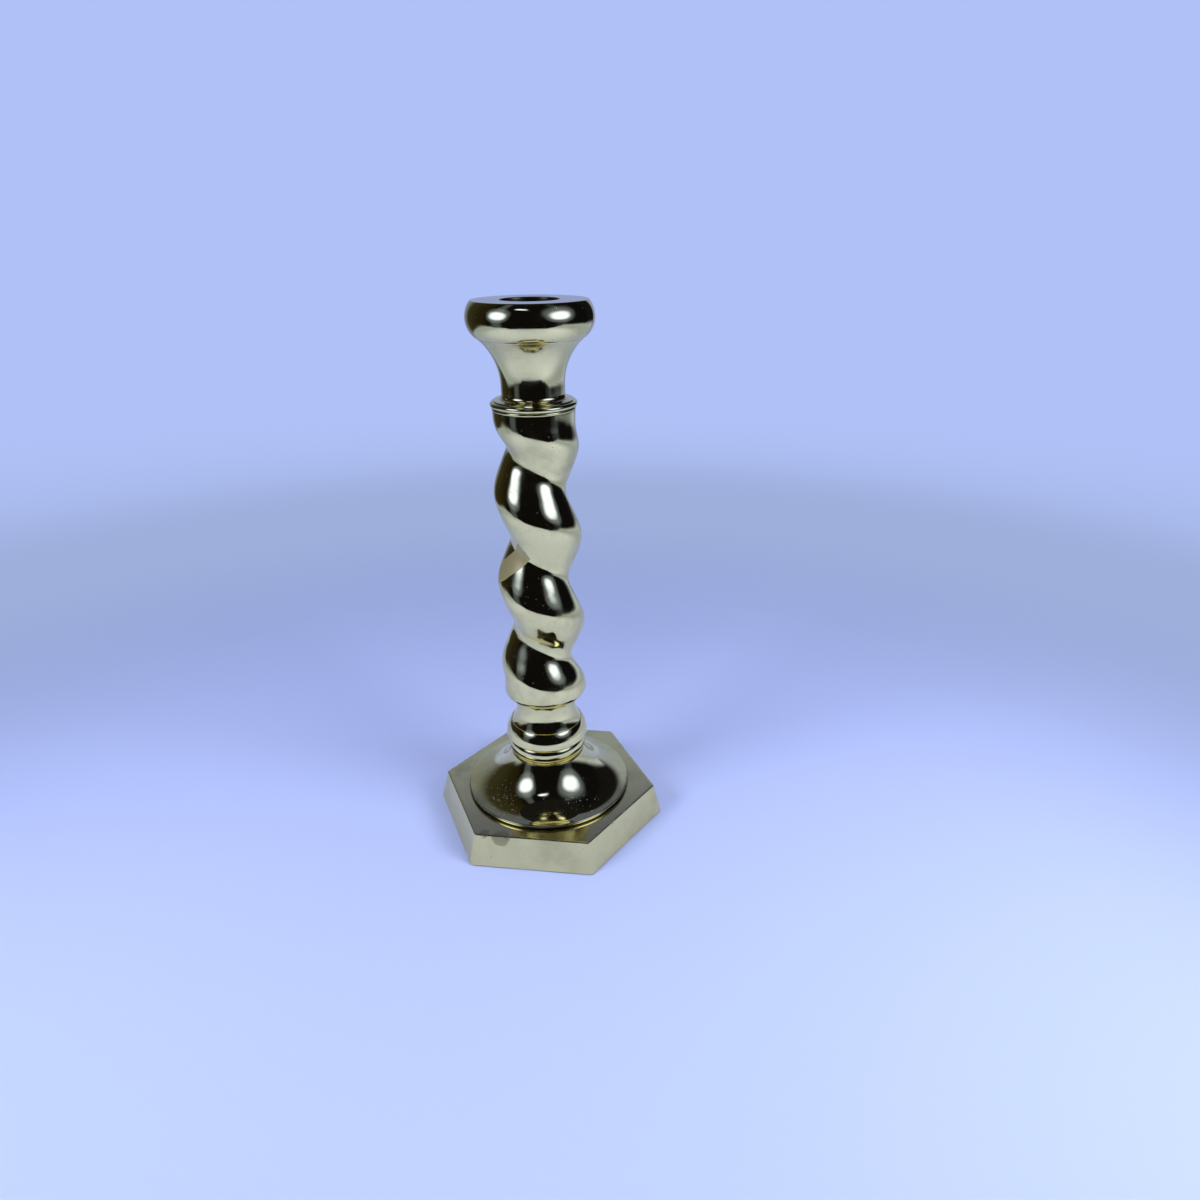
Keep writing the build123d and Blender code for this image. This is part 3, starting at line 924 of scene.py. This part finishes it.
# Where each point of the grid goes
columnPlaces = (
    # its row, and its angle round the section
    ("rowShare", "ADD", "gridY", 0.5),
    ("rowPlace", "MULTIPLY", "rowShare", "lastRow"),
    ("wholeRow", "ROUND", "rowPlace"),
    ("row", "MODULO", "wholeRow", "lastRow"),
    ("spin", "ADD", "gridX", 0.5),
    ("angle", "MULTIPLY", "spin", 2 * pi),
    # its height, and how far the rounded lip at the foot is set in there
    ("lipShare", "DIVIDE", "row", "Lip Rows"),
    ("lipPart", "MINIMUM", "lipShare", 1),
    ("lipAngle", "MULTIPLY", "lipPart", pi / 2),
    ("lipCosine", "COSINE", "lipAngle"),
    ("lipSine", "SINE", "lipAngle"),
    ("lipDrop", "MULTIPLY", "lipCosine", "Lip Round"),
    ("lipHeight", "SUBTRACT", "Lip Round", "lipDrop"),
    ("lipSide", "MULTIPLY", "lipSine", "Lip Round"),
    ("inset", "SUBTRACT", "Lip Round", "lipSide"),
    ("shaftRow", "SUBTRACT", "row", "Lip Rows"),
    ("shaftShare", "DIVIDE", "shaftRow", "Shaft Rows"),
    ("shaftStart", "MAXIMUM", "shaftShare", 0),
    ("shaftPart", "MINIMUM", "shaftStart", 1),
    ("shaftLength", "SUBTRACT", "Height", "Lip Round"),
    ("shaftRise", "MULTIPLY", "shaftLength", "shaftPart"),
    ("height", "ADD", "lipHeight", "shaftRise"),
    # the tapered reach from the axis to the crest, which narrows at the head
    ("climb", "DIVIDE", "height", "Height"),
    ("toHead", "SUBTRACT", "Height", "height"),
    ("headEase", "SMOOTHSTEP", "toHead", 0, "Fade Head", 0, 1),
    ("footEase", "SMOOTHSTEP", "height", 0, "Fade Foot", 0, 1),
    ("taper", "SUBTRACT", "Shaft Radius", "Foot Radius"),
    ("tapered", "MULTIPLY_ADD", "taper", "climb", "Foot Radius"),
    ("headStep", "SUBTRACT", "Shaft Radius", "Head Radius"),
    ("head", "SUBTRACT", 1, "headEase"),
    ("headCut", "MULTIPLY", "headStep", "head"),
    ("reach", "SUBTRACT", "tapered", "headCut"),
    # how far and which way the section's centre stands off the axis
    ("throwTaper", "SUBTRACT", "Throw Head", "Throw Foot"),
    ("fullThrow", "MULTIPLY_ADD", "throwTaper", "climb", "Throw Foot"),
    ("fadedThrow", "MULTIPLY", "fullThrow", "footEase"),
    ("throw", "MULTIPLY", "fadedThrow", "headEase"),
    ("turns", "DIVIDE", "height", "Lead"),
    ("turn", "MULTIPLY_ADD", "turns", -2 * pi, "Start Angle"),
    # the section's radius, tighter in the hollow between the strands
    ("circle", "SUBTRACT", "reach", "throw"),
    ("away", "SUBTRACT", "angle", "turn"),
    ("facing", "COSINE", "away"),
    ("behind", "MULTIPLY", "facing", -1),
    ("back", "MAXIMUM", "behind", 0),
    ("hollow", "POWER", "back", columnValleyPower),
    ("eases", "MULTIPLY", "footEase", "headEase"),
    ("valley", "MULTIPLY", "Valley Depth", "eases"),
    ("hollowed", "MULTIPLY", "hollow", "valley"),
    ("plain", "SUBTRACT", "circle", "inset"),
    ("outer", "SUBTRACT", "plain", "hollowed"),
    # the last rows lie on the bore, one at the top and one at the foot
    ("outerEnd", "ADD", "outerRows", 0.5),
    ("inner", "GREATER_THAN", "row", "outerEnd"),
    ("radiusGap", "SUBTRACT", "Bore Radius", "outer"),
    ("radius", "MULTIPLY_ADD", "radiusGap", "inner", "outer"),
    ("upperEnd", "ADD", "outerRows", 1.5),
    ("upper", "LESS_THAN", "row", "upperEnd"),
    ("rise", "MULTIPLY", "height", "upper"),
    # the point itself
    ("z", "ADD", "rise", "Foot Height"),
    ("turnCosine", "COSINE", "turn"),
    ("turnSine", "SINE", "turn"),
    ("angleCosine", "COSINE", "angle"),
    ("angleSine", "SINE", "angle"),
    ("sideX", "MULTIPLY", "radius", "angleCosine"),
    ("sideY", "MULTIPLY", "radius", "angleSine"),
    ("x", "MULTIPLY_ADD", "throw", "turnCosine", "sideX"),
    ("y", "MULTIPLY_ADD", "throw", "turnSine", "sideY"),
)


# Adds a node for each line of a table
def addLines(tree, table, values):
    for name, operation, *terms in table:
        eased = operation == "SMOOTHSTEP"
        kind, settings = (rangeNode, smooth) if eased else (mathNode, {"operation": operation})
        wires = {place: values.get(term, term) for place, term in enumerate(terms)}
        values[name] = addNode(tree, kind, wires, **settings)


def makeColumn(material):
    tree = bpy.data.node_groups.new("twistedColumn", "GeometryNodeTree")
    sizes = {"Height": columnHead - columnFoot, "Foot Height": columnFoot} | columnValues
    inputs = {name: size * mm for name, size in sizes.items()} | {"Start Angle": radians(columnStartDeg)}
    inputs |= columnCounts
    identifiers = {}
    for name, value in inputs.items():
        kind = "NodeSocketInt" if name in columnCounts else "NodeSocketFloat"
        identifiers[name] = tree.interface.new_socket(name, in_out="INPUT", socket_type=kind).identifier
    tree.interface.new_socket("Geometry", in_out="OUTPUT", socket_type="NodeSocketGeometry")
    values = {socket.name: socket for socket in addNode(tree, "NodeGroupInput").outputs if socket.name}
    addLines(tree, columnGrid, values)
    grid = addNode(tree, "GeometryNodeMeshGrid", {
        "Size X": 1.0, "Size Y": 1.0, "Vertices X": values["columnCount"], "Vertices Y": values["rowCount"]})
    position = addNode(tree, "GeometryNodeInputPosition")
    place = addNode(tree, "ShaderNodeSeparateXYZ", {0: position}).outputs
    values |= {"gridX": place["X"], "gridY": place["Y"]}
    addLines(tree, columnPlaces, values)
    point = addNode(tree, "ShaderNodeCombineXYZ", {"X": values["x"], "Y": values["y"], "Z": values["z"]})
    bent = addNode(tree, "GeometryNodeSetPosition", {"Geometry": grid, "Position": point})
    welded = addNode(tree, "GeometryNodeMergeByDistance", {
        "Geometry": bent, "Distance": meshValues["weldGap"] * mm})
    real = addNode(tree, "GeometryNodeRealizeInstances", {"Geometry": welded})
    painted = addNode(tree, "GeometryNodeSetMaterial", {"Geometry": real, "Material": material})
    addNode(tree, "NodeGroupOutput", {"Geometry": painted})

    holder = bpy.data.objects.new("columnHolder", bpy.data.meshes.new("columnHolder"))
    bpy.context.scene.collection.objects.link(holder)
    modifier = holder.modifiers.new("twistedColumn", "NODES")
    modifier.node_group = tree
    for name, value in inputs.items():
        modifier[identifiers[name]] = value
    shown = holder.evaluated_get(bpy.context.evaluated_depsgraph_get())
    mesh = bpy.data.meshes.new_from_object(shown)
    bpy.data.objects.remove(holder)
    mesh.name = "twistCasting"
    return finishMesh(mesh)


castBrass = makeBrass(castFinish | {"lead": columnValues["Lead"]})
addPiece("twistCasting", makeColumn(castBrass), castBrass, "twist_column")

# Rod, washers and nut under the plinth's deck
rodValues = {
    "pitch": 1.0,
    "threadDepth": 0.55,
    "lowThread": 18.0,
    "highThread": 12.0,
    "chamfer": 0.5,
    "pitchRows": 6,
    "around": 48,
}


def makeRod(values):
    base, top, radius = lowEnd("tie_rod"), highEnd("tie_rod"), fitValues["rodRadius"]
    rowGap = values["pitch"] / values["pitchRows"]
    heights = [base + rowGap * row for row in range(ceil(values["lowThread"] / rowGap))]
    heights += [top - rowGap * row for row in range(ceil(values["highThread"] / rowGap), -1, -1)]
    rings = []
    for height in heights:
        threaded = height < base + values["lowThread"] or height > top - values["highThread"]
        reach = radius - max(0, values["chamfer"] - min(height - base, top - height))
        ring = []
        for step in range(values["around"]):
            turn = step / values["around"]
            flank = abs((height / values["pitch"] - turn) % 1 - 0.5) * 2  # 0 at the crest, 1 at the root
            side = reach - values["threadDepth"] * flank if threaded else reach
            ring.append((side * cos(2 * pi * turn), side * sin(2 * pi * turn), height))
        rings.append(ring)
    return skinRings("rodStud", rings, closed=False)


addPiece("rodStud", makeRod(rodValues), steel, "tie_rod")

washerValues = {"radius": 12.0, "edgeRound": 0.35}


def makeWasher(values):
    base, top, hole = lowEnd("rod_washer"), highEnd("rod_washer"), fitValues["rodHoleRadius"]
    outer, edge = values["radius"], values["edgeRound"]
    return turnOutline("washerStamping", joinStretches(
        straights((hole, base), (outer, base), (outer, top), (hole, top), (hole, base)), {1: edge, 2: edge}))


addPiece("washerStamping", makeWasher(washerValues), steel, "rod_washer")

springValues = {"radius": 5.5, "slit": 0.8, "cornerCut": 0.25, "around": 96}


def makeSpringWasher(values):
    base, top, hole = lowEnd("spring_washer"), highEnd("spring_washer"), fitValues["rodHoleRadius"]
    outer, cut = values["radius"], values["cornerCut"]
    section = ((hole + cut, base), (outer - cut, base), (outer, base + cut), (outer, top - cut),
               (outer - cut, top), (hole + cut, top), (hole, top - cut), (hole, base + cut))
    start = values["slit"] / 2 / outer
    turns = [start + (2 * pi - 2 * start) * step / values["around"] for step in range(values["around"] + 1)]
    rings = [[(r * cos(a), r * sin(a), z) for r, z in section] for a in turns]
    return skinRings("springWasherCoil", rings, closed=False)


addPiece("springWasherCoil", makeSpringWasher(springValues), steel, "spring_washer")

nutValues = {
    "acrossFlats": 10.0,
    "chamfer": 0.55,
    "faceRadius": 4.75,
    "holeChamfer": 0.45,
    "coneSteps": 6,
    "around": 144,
}


# A nut's corners are cut by a cone at both ends, which leaves the curved edges on its flats
def makeNut(values):
    base, top = lowEnd("rod_nut"), highEnd("rod_nut")
    hole, bevel = fitValues["rodRadius"] + fitValues["threadGap"], values["holeChamfer"]
    flat, face, cone = values["acrossFlats"] / 2, values["faceRadius"], values["coneSteps"]
    flare = flat / cos(pi / 6) - face
    rows = [(hole + bevel, base), (face, base)]
    for step in range(1, cone + 1):
        rows.append((face + flare * step / cone, base + values["chamfer"] * step / cone))
    rows += [(radius, top + base - height) for radius, height in reversed(rows[1:])]
    rows += [(hole + bevel, top), (hole, top - bevel), (hole, base + bevel)]
    rings = []
    for radius, height in rows:
        ring = []
        for step in range(values["around"]):
            turn = 2 * pi * step / values["around"]
            reach = min(radius, flat / cos((turn + pi / 6) % (pi / 3) - pi / 6))
            ring.append((reach * cos(turn), reach * sin(turn), height))
        rings.append(ring)
    return skinRings("nutForging", rings)


addPiece("nutForging", makeNut(nutValues), steel, "rod_nut")

# Stage: a pale floor that sweeps up into a wall all round, in metres
stageValues = {
    "flatRadius": 0.62,
    "sweepRadius": 0.30,
    "wallHeight": 1.6,
    "sweepSteps": 24,
    "gap": 0.0003,  # the plinth's foot touches the paper only here and there
    "around": 128,
    "color": "#CED4ED",
    # painted shade where the floor bends up into the wall; the wall above glows at the paler tone
    "foldShadeColor": "#9EAFDC",
    "wallGlowColor": "#B0C1F7",
    "roughness": 0.85,
    "shine": 0.1,
    "middle": (0, -0.12, 0),  # of its brightest place, in front of the holder
    "glowNear": 0.24,  # its own brightness comes in between these distances from there
    "glowFar": 0.56,
    "foldNear": 0.62,  # the painted shade of the fold turns into the wall's glow between these
    "foldFar": 0.89,
}


# A sheet turned round the holder's axis
def turnSheet(name, profile, around):
    bearings = [radians(360 * step / around) for step in range(around + 1)]
    size = around + 1
    faces = []
    for row in range(len(profile) - 1):
        for corner in range(row * size, row * size + around):
            faces.append((corner, corner + size, corner + size + 1, corner + 1))
    mesh = bpy.data.meshes.new(name)
    mesh.from_pydata([(r * sin(a), r * cos(a), z) for r, z in profile for a in bearings], [], faces)
    work = bmesh.new()
    work.from_mesh(mesh)
    bmesh.ops.remove_doubles(work, verts=work.verts, dist=mm)  # closes the seam and the middle
    work.to_mesh(mesh)
    work.free()
    mesh.shade_smooth()
    return mesh


def addStagePiece(name, mesh, material):
    piece = bpy.data.objects.new(name, mesh)
    mesh.materials.append(material)
    bpy.context.scene.collection.objects.link(piece)
    print("placed", name)
    return piece


# Hides a piece from everything but glossy rays, so that only the metal shows it
def showInMetalOnly(piece):
    piece.visible_camera = piece.visible_diffuse = piece.visible_shadow = piece.visible_transmission = False


# Seamless background paper, calendered wood pulp: matt and pale blue, with a faint sheen
# To the camera and in the metal, its far floor and its wall glow at painted tones in any light, with painted
# shade at the fold
def makePaper(values):
    material, tree = startMaterial("backgroundPaper")
    path = addNode(tree, "ShaderNodeLightPath").outputs
    paper = addNode(tree, "ShaderNodeBsdfPrincipled", {
        "Base Color": hexToLinear(values["color"]), "Roughness": values["roughness"],
        "Specular IOR Level": values["shine"]})
    seen = addNode(tree, mathNode, {0: path["Is Camera Ray"], 1: path["Is Glossy Ray"]}, operation="MAXIMUM")
    place = addNode(tree, "ShaderNodeTexCoord").outputs["Object"]
    ground = addNode(tree, vectorNode, {0: place, 1: (1, 1, 0)}, operation="MULTIPLY")
    reach = addNode(tree, vectorNode, {0: ground, 1: values["middle"]}, operation="DISTANCE")
    glow = addNode(tree, rangeNode, {
        "Value": reach, "From Min": values["glowNear"], "From Max": values["glowFar"]}, **smooth)
    rise = addNode(tree, rangeNode, {
        "Value": reach, "From Min": values["foldNear"], "From Max": values["foldFar"]}, **smooth)
    # The glow's tone: painted shade at the fold, paler up the wall
    tone = addNode(tree, mixNode, {
        "Factor": rise, "A": hexToLinear(values["foldShadeColor"]),
        "B": hexToLinear(values["wallGlowColor"])}, **colors)
    wall = addNode(tree, "ShaderNodeEmission", {"Color": tone})
    share = addNode(tree, mathNode, {0: seen, 1: glow}, operation="MULTIPLY")
    both = addNode(tree, "ShaderNodeMixShader", {0: share, 1: paper, 2: wall})
    addNode(tree, "ShaderNodeOutputMaterial", {"Surface": both})
    return material


def makeStage(values):
    flat, sweep, steps = values["flatRadius"], values["sweepRadius"], values["sweepSteps"]
    bends = [pi / 2 * step / steps for step in range(steps + 1)]
    profile = [(0, 0), (flat / 2, 0)]
    profile += [(flat + sweep * sin(bend), sweep * (1 - cos(bend))) for bend in bends]
    profile.append((flat + sweep, values["wallHeight"]))
    profile = [(reach, height - values["gap"]) for reach, height in profile]
    addStagePiece("backdrop", turnSheet("backdrop", profile, values["around"]), makePaper(values))


makeStage(stageValues)

# Painted reflections of a dim room round the paper: a glowing sheet, seen only in the metal
# Each row gives a compass bearing in degrees, where the room starts there, how softly, and its tone
# The start is in metres, out along the floor from the paper's front edge and then up the wall
roomRows = (
    (0, 0.00, 0.08, "#95A4D4"),
    (18, 0.00, 0.08, "#95A4D4"),
    (27, 0.27, 0.10, "#14151C"),
    (42, 0.24, 0.12, "#14151C"),
    (58, 0.24, 0.08, "#0D0E16"),
    (98, 0.24, 0.07, "#0D0E16"),
    (108, 0.24, 0.07, "#363F57"),
    (117, 0.19, 0.07, "#2A3042"),
    (127, 0.08, 0.06, "#0D0E16"),
    (140, 0.00, 0.04, "#0F0E12"),
    (170, 0.00, 0.04, "#0F0E12"),
    (205, 0.00, 0.05, "#0D0E14"),
    (216, 0.10, 0.06, "#0D0E14"),
    (225, 0.14, 0.07, "#4A546F"),
    (233, 0.14, 0.07, "#4A546F"),
    (242, 0.20, 0.08, "#0F0F0E"),
    (262, 0.21, 0.10, "#242116"),
    (300, 0.05, 0.14, "#33332A"),
    (322, 0.00, 0.20, "#7C86A0"),
    (338, 0.00, 0.10, "#95A4D4"),
    (360, 0.00, 0.08, "#95A4D4"),
)
roomShape = {
    "near": 0.385,  # the paper's front edge
    "far": 0.60,  # where the room turns up from the floor into the wall
    "lift": 0.002,  # over the paper
    "top": 1.50,
    "rows": 90,
    "around": 180,
    "upperTone": "#59628A",  # no tone is paler than this above the paper's top edge
    "upperStart": 0.60,
    "upperSoft": 0.16,
}


# Eases a share of 0 to 1 at both ends
def smoothShare(share):
    share = min(1, max(0, share))
    return share * share * (3 - 2 * share)


# The room's start, softness and tone at any bearing
def roomAt(bearing):
    for here, there in zip(roomRows, roomRows[1:]):
        if bearing <= there[0]:
            ease = smoothShare((bearing - here[0]) / (there[0] - here[0]))
            pairs = zip((*here[1:3], *hexToLinear(here[3])), (*there[1:3], *hexToLinear(there[3])))
            start, soft, *tone = (a + (b - a) * ease for a, b in pairs)
            return start, soft, tone


# Plain glowing tones that paint the room's reflection in the metal, clear where the room hasn't started
def makeRoomGlow():
    material, tree = startMaterial("paintedRoomReflectionGlow")
    tone = addNode(tree, "ShaderNodeAttribute", attribute_name="tone")
    glow = addNode(tree, "ShaderNodeEmission", {"Color": tone})
    clear = addNode(tree, "ShaderNodeBsdfTransparent")
    cover = addNode(tree, "ShaderNodeAttribute", attribute_name="cover").outputs["Fac"]
    both = addNode(tree, "ShaderNodeMixShader", {0: cover, 1: clear, 2: glow})
    addNode(tree, "ShaderNodeOutputMaterial", {"Surface": both})
    return material


def makeRoomReflection(shape):
    floorRun = shape["far"] - shape["near"]
    run = floorRun + shape["top"]
    profile = []
    for step in range(shape["rows"] + 1):
        reach = run * step / shape["rows"]
        profile.append((shape["near"] + min(reach, floorRun), shape["lift"] + max(0, reach - floorRun)))
    mesh = turnSheet("paintedRoomReflection", profile, shape["around"])
    covers = mesh.attributes.new("cover", "FLOAT", "POINT")
    tones = mesh.attributes.new("tone", "FLOAT_COLOR", "POINT")
    upperTone = hexToLinear(shape["upperTone"])
    for point in mesh.vertices:
        out = Vector(point.co.xy).length
        reach = out - shape["near"] + point.co.z - shape["lift"]
        start, soft, tone = roomAt(degrees(atan2(point.co.x, point.co.y)) % 360)
        upper = smoothShare((reach - shape["upperStart"]) / shape["upperSoft"])
        covers.data[point.index].value = smoothShare((reach - start) / soft)
        tones.data[point.index].color = [
            part + (min(part, most) - part) * upper for part, most in zip(tone, upperTone)]
    showInMetalOnly(addStagePiece("paintedRoomReflection", mesh, makeRoomGlow()))


makeRoomReflection(roomShape)

# Camera at the photograph's viewing angle
cameraValues = {
    "place": (65.58, -315.56, 251.74),
    "turnDeg": 7.32,
    "tiltDownDeg": 24.311,
    "rollDeg": -0.549,
    "lens": 24.76,
    "sensor": 36.0,
    "clipStart": 0.01,  # metres
}


def makeCamera(values):
    camera = bpy.data.objects.new("camera", bpy.data.cameras.new("camera"))
    bpy.context.scene.collection.objects.link(camera)
    camera.data.lens, camera.data.sensor_width = values["lens"], values["sensor"]
    camera.data.clip_start = values["clipStart"]
    camera.location = Vector(values["place"]) * mm
    turn = Matrix.Rotation(radians(values["turnDeg"]), 3, "Z")
    tilt = Matrix.Rotation(radians(90 - values["tiltDownDeg"]), 3, "X")
    roll = Matrix.Rotation(radians(values["rollDeg"]), 3, "Z")
    camera.rotation_euler = (turn @ tilt @ roll).to_euler()
    bpy.context.scene.camera = camera
    print("placed the camera")


makeCamera(cameraValues)

# Light: two softboxes that lean over the holder and a strip high in front of it, all cool daylight
# The floor is lit by the plain lamp, and the brass mirrors its front: a bright middle in a faint cloth
# Both are given as width and height
lampValues = {
    "softboxRight": {
        "place": (0.361, -0.161, 0.340), "aim": (0, 0, 0), "power": 1.58,
        "cloth": (0.52, 0.52), "middle": (0.34, 0.27),
    },
    "softboxLeft": {
        "place": (-0.311, -0.280, 0.351), "aim": (0, 0, 0.118), "power": 1.50,
        "cloth": (0.40, 0.46), "middle": (0.30, 0.25),
    },
    "stripFront": {
        "place": (-0.05, -0.407, 0.670), "aim": (0, 0, 0), "power": 0.39,
        "cloth": (0.26, 0.07), "middle": (0.25, 0.06),
    },
}
lampShape = {
    "lightColor": "#DEE8FF",
    "lampShare": 0.7,  # size of the plain lamp against the bright middle
    "color": "#A9BBFF",  # what the brass turns into white
    "middleGlow": 2.7,
    "clothGlow": 0.42,
    "squareness": 2.4,  # 2 is round, more is squarer
}


# Lit nylon cloth: two rounded squares of light, one in the other, that fade towards their edges
def makeLampCloth(name, values, shape):
    material, tree = startMaterial(name)
    place = addNode(tree, "ShaderNodeTexCoord").outputs["Object"]
    glow = None
    for part in ("middle", "cloth"):
        halves = [2 / side for side in values[part]]
        spread = addNode(tree, vectorNode, {0: place, 1: (*halves, 0)}, operation="MULTIPLY")
        out = addNode(tree, vectorNode, {0: spread}, operation="ABSOLUTE")
        sides = addNode(tree, "ShaderNodeSeparateXYZ", {0: out}).outputs
        wide, high = (addNode(tree, mathNode, {
            0: sides[side], 1: shape["squareness"]}, operation="POWER") for side in "XY")
        reach = addNode(tree, mathNode, {0: wide, 1: high}, operation="ADD")
        lit = addNode(tree, rangeNode, {"Value": reach, "From Min": 1.0, "From Max": 0.0}, **smooth)
        strength = addNode(tree, mathNode, {0: lit, 1: shape[part + "Glow"]}, operation="MULTIPLY")
        shine = addNode(tree, "ShaderNodeEmission", {
            "Color": hexToLinear(shape["color"]), "Strength": strength})
        glow = addNode(tree, "ShaderNodeAddShader", {0: glow, 1: shine}) if glow else shine
    clear = addNode(tree, "ShaderNodeBsdfTransparent")
    front = addNode(tree, "ShaderNodeAddShader", {0: glow, 1: clear})
    addNode(tree, "ShaderNodeOutputMaterial", {"Surface": front})
    return material


def makeLamp(name, values, shape):
    light = bpy.data.lights.new(name, "AREA")
    light.shape = "RECTANGLE"
    light.size, light.size_y = (side * shape["lampShare"] for side in values["middle"])
    light.energy = values["power"]
    light.color = hexToLinear(shape["lightColor"])[:3]
    lamp = bpy.data.objects.new(name, light)
    bpy.context.scene.collection.objects.link(lamp)
    lamp.visible_camera = lamp.visible_glossy = False

    wide, high = (side / 2 for side in values["cloth"])
    mesh = bpy.data.meshes.new(name + "Front")
    corners = [(-wide, -high, 0), (wide, -high, 0), (wide, high, 0), (-wide, high, 0)]
    mesh.from_pydata(corners, [], [(0, 1, 2, 3)])
    panel = addStagePiece(name + "Front", mesh, makeLampCloth(name + "Cloth", values, shape))
    showInMetalOnly(panel)
    for item in (lamp, panel):
        item.location = values["place"]
        item.rotation_euler = (Vector(values["aim"]) - item.location).to_track_quat("-Z", "Y").to_euler()


for name, values in lampValues.items():
    makeLamp(name, values, lampShape)

# The room above the paper: soft grey fill, dark where the metal mirrors it
roomValues = {"fill": "#B2BBD2", "mirrored": "#17181E"}


def makeRoom(values):
    world = bpy.data.worlds.new("room")
    bpy.context.scene.world = world
    world.use_nodes = True
    tree = world.node_tree
    tree.nodes.clear()
    glossy = addNode(tree, "ShaderNodeLightPath").outputs["Is Glossy Ray"]
    tone = addNode(tree, mixNode, {
        "Factor": glossy, "A": hexToLinear(values["fill"]), "B": hexToLinear(values["mirrored"])}, **colors)
    glow = addNode(tree, "ShaderNodeBackground", {"Color": tone})
    addNode(tree, "ShaderNodeOutputWorld", {"Surface": glow})
    print("lit the room")


makeRoom(roomValues)

bpy.context.scene.view_settings.view_transform = "Standard"
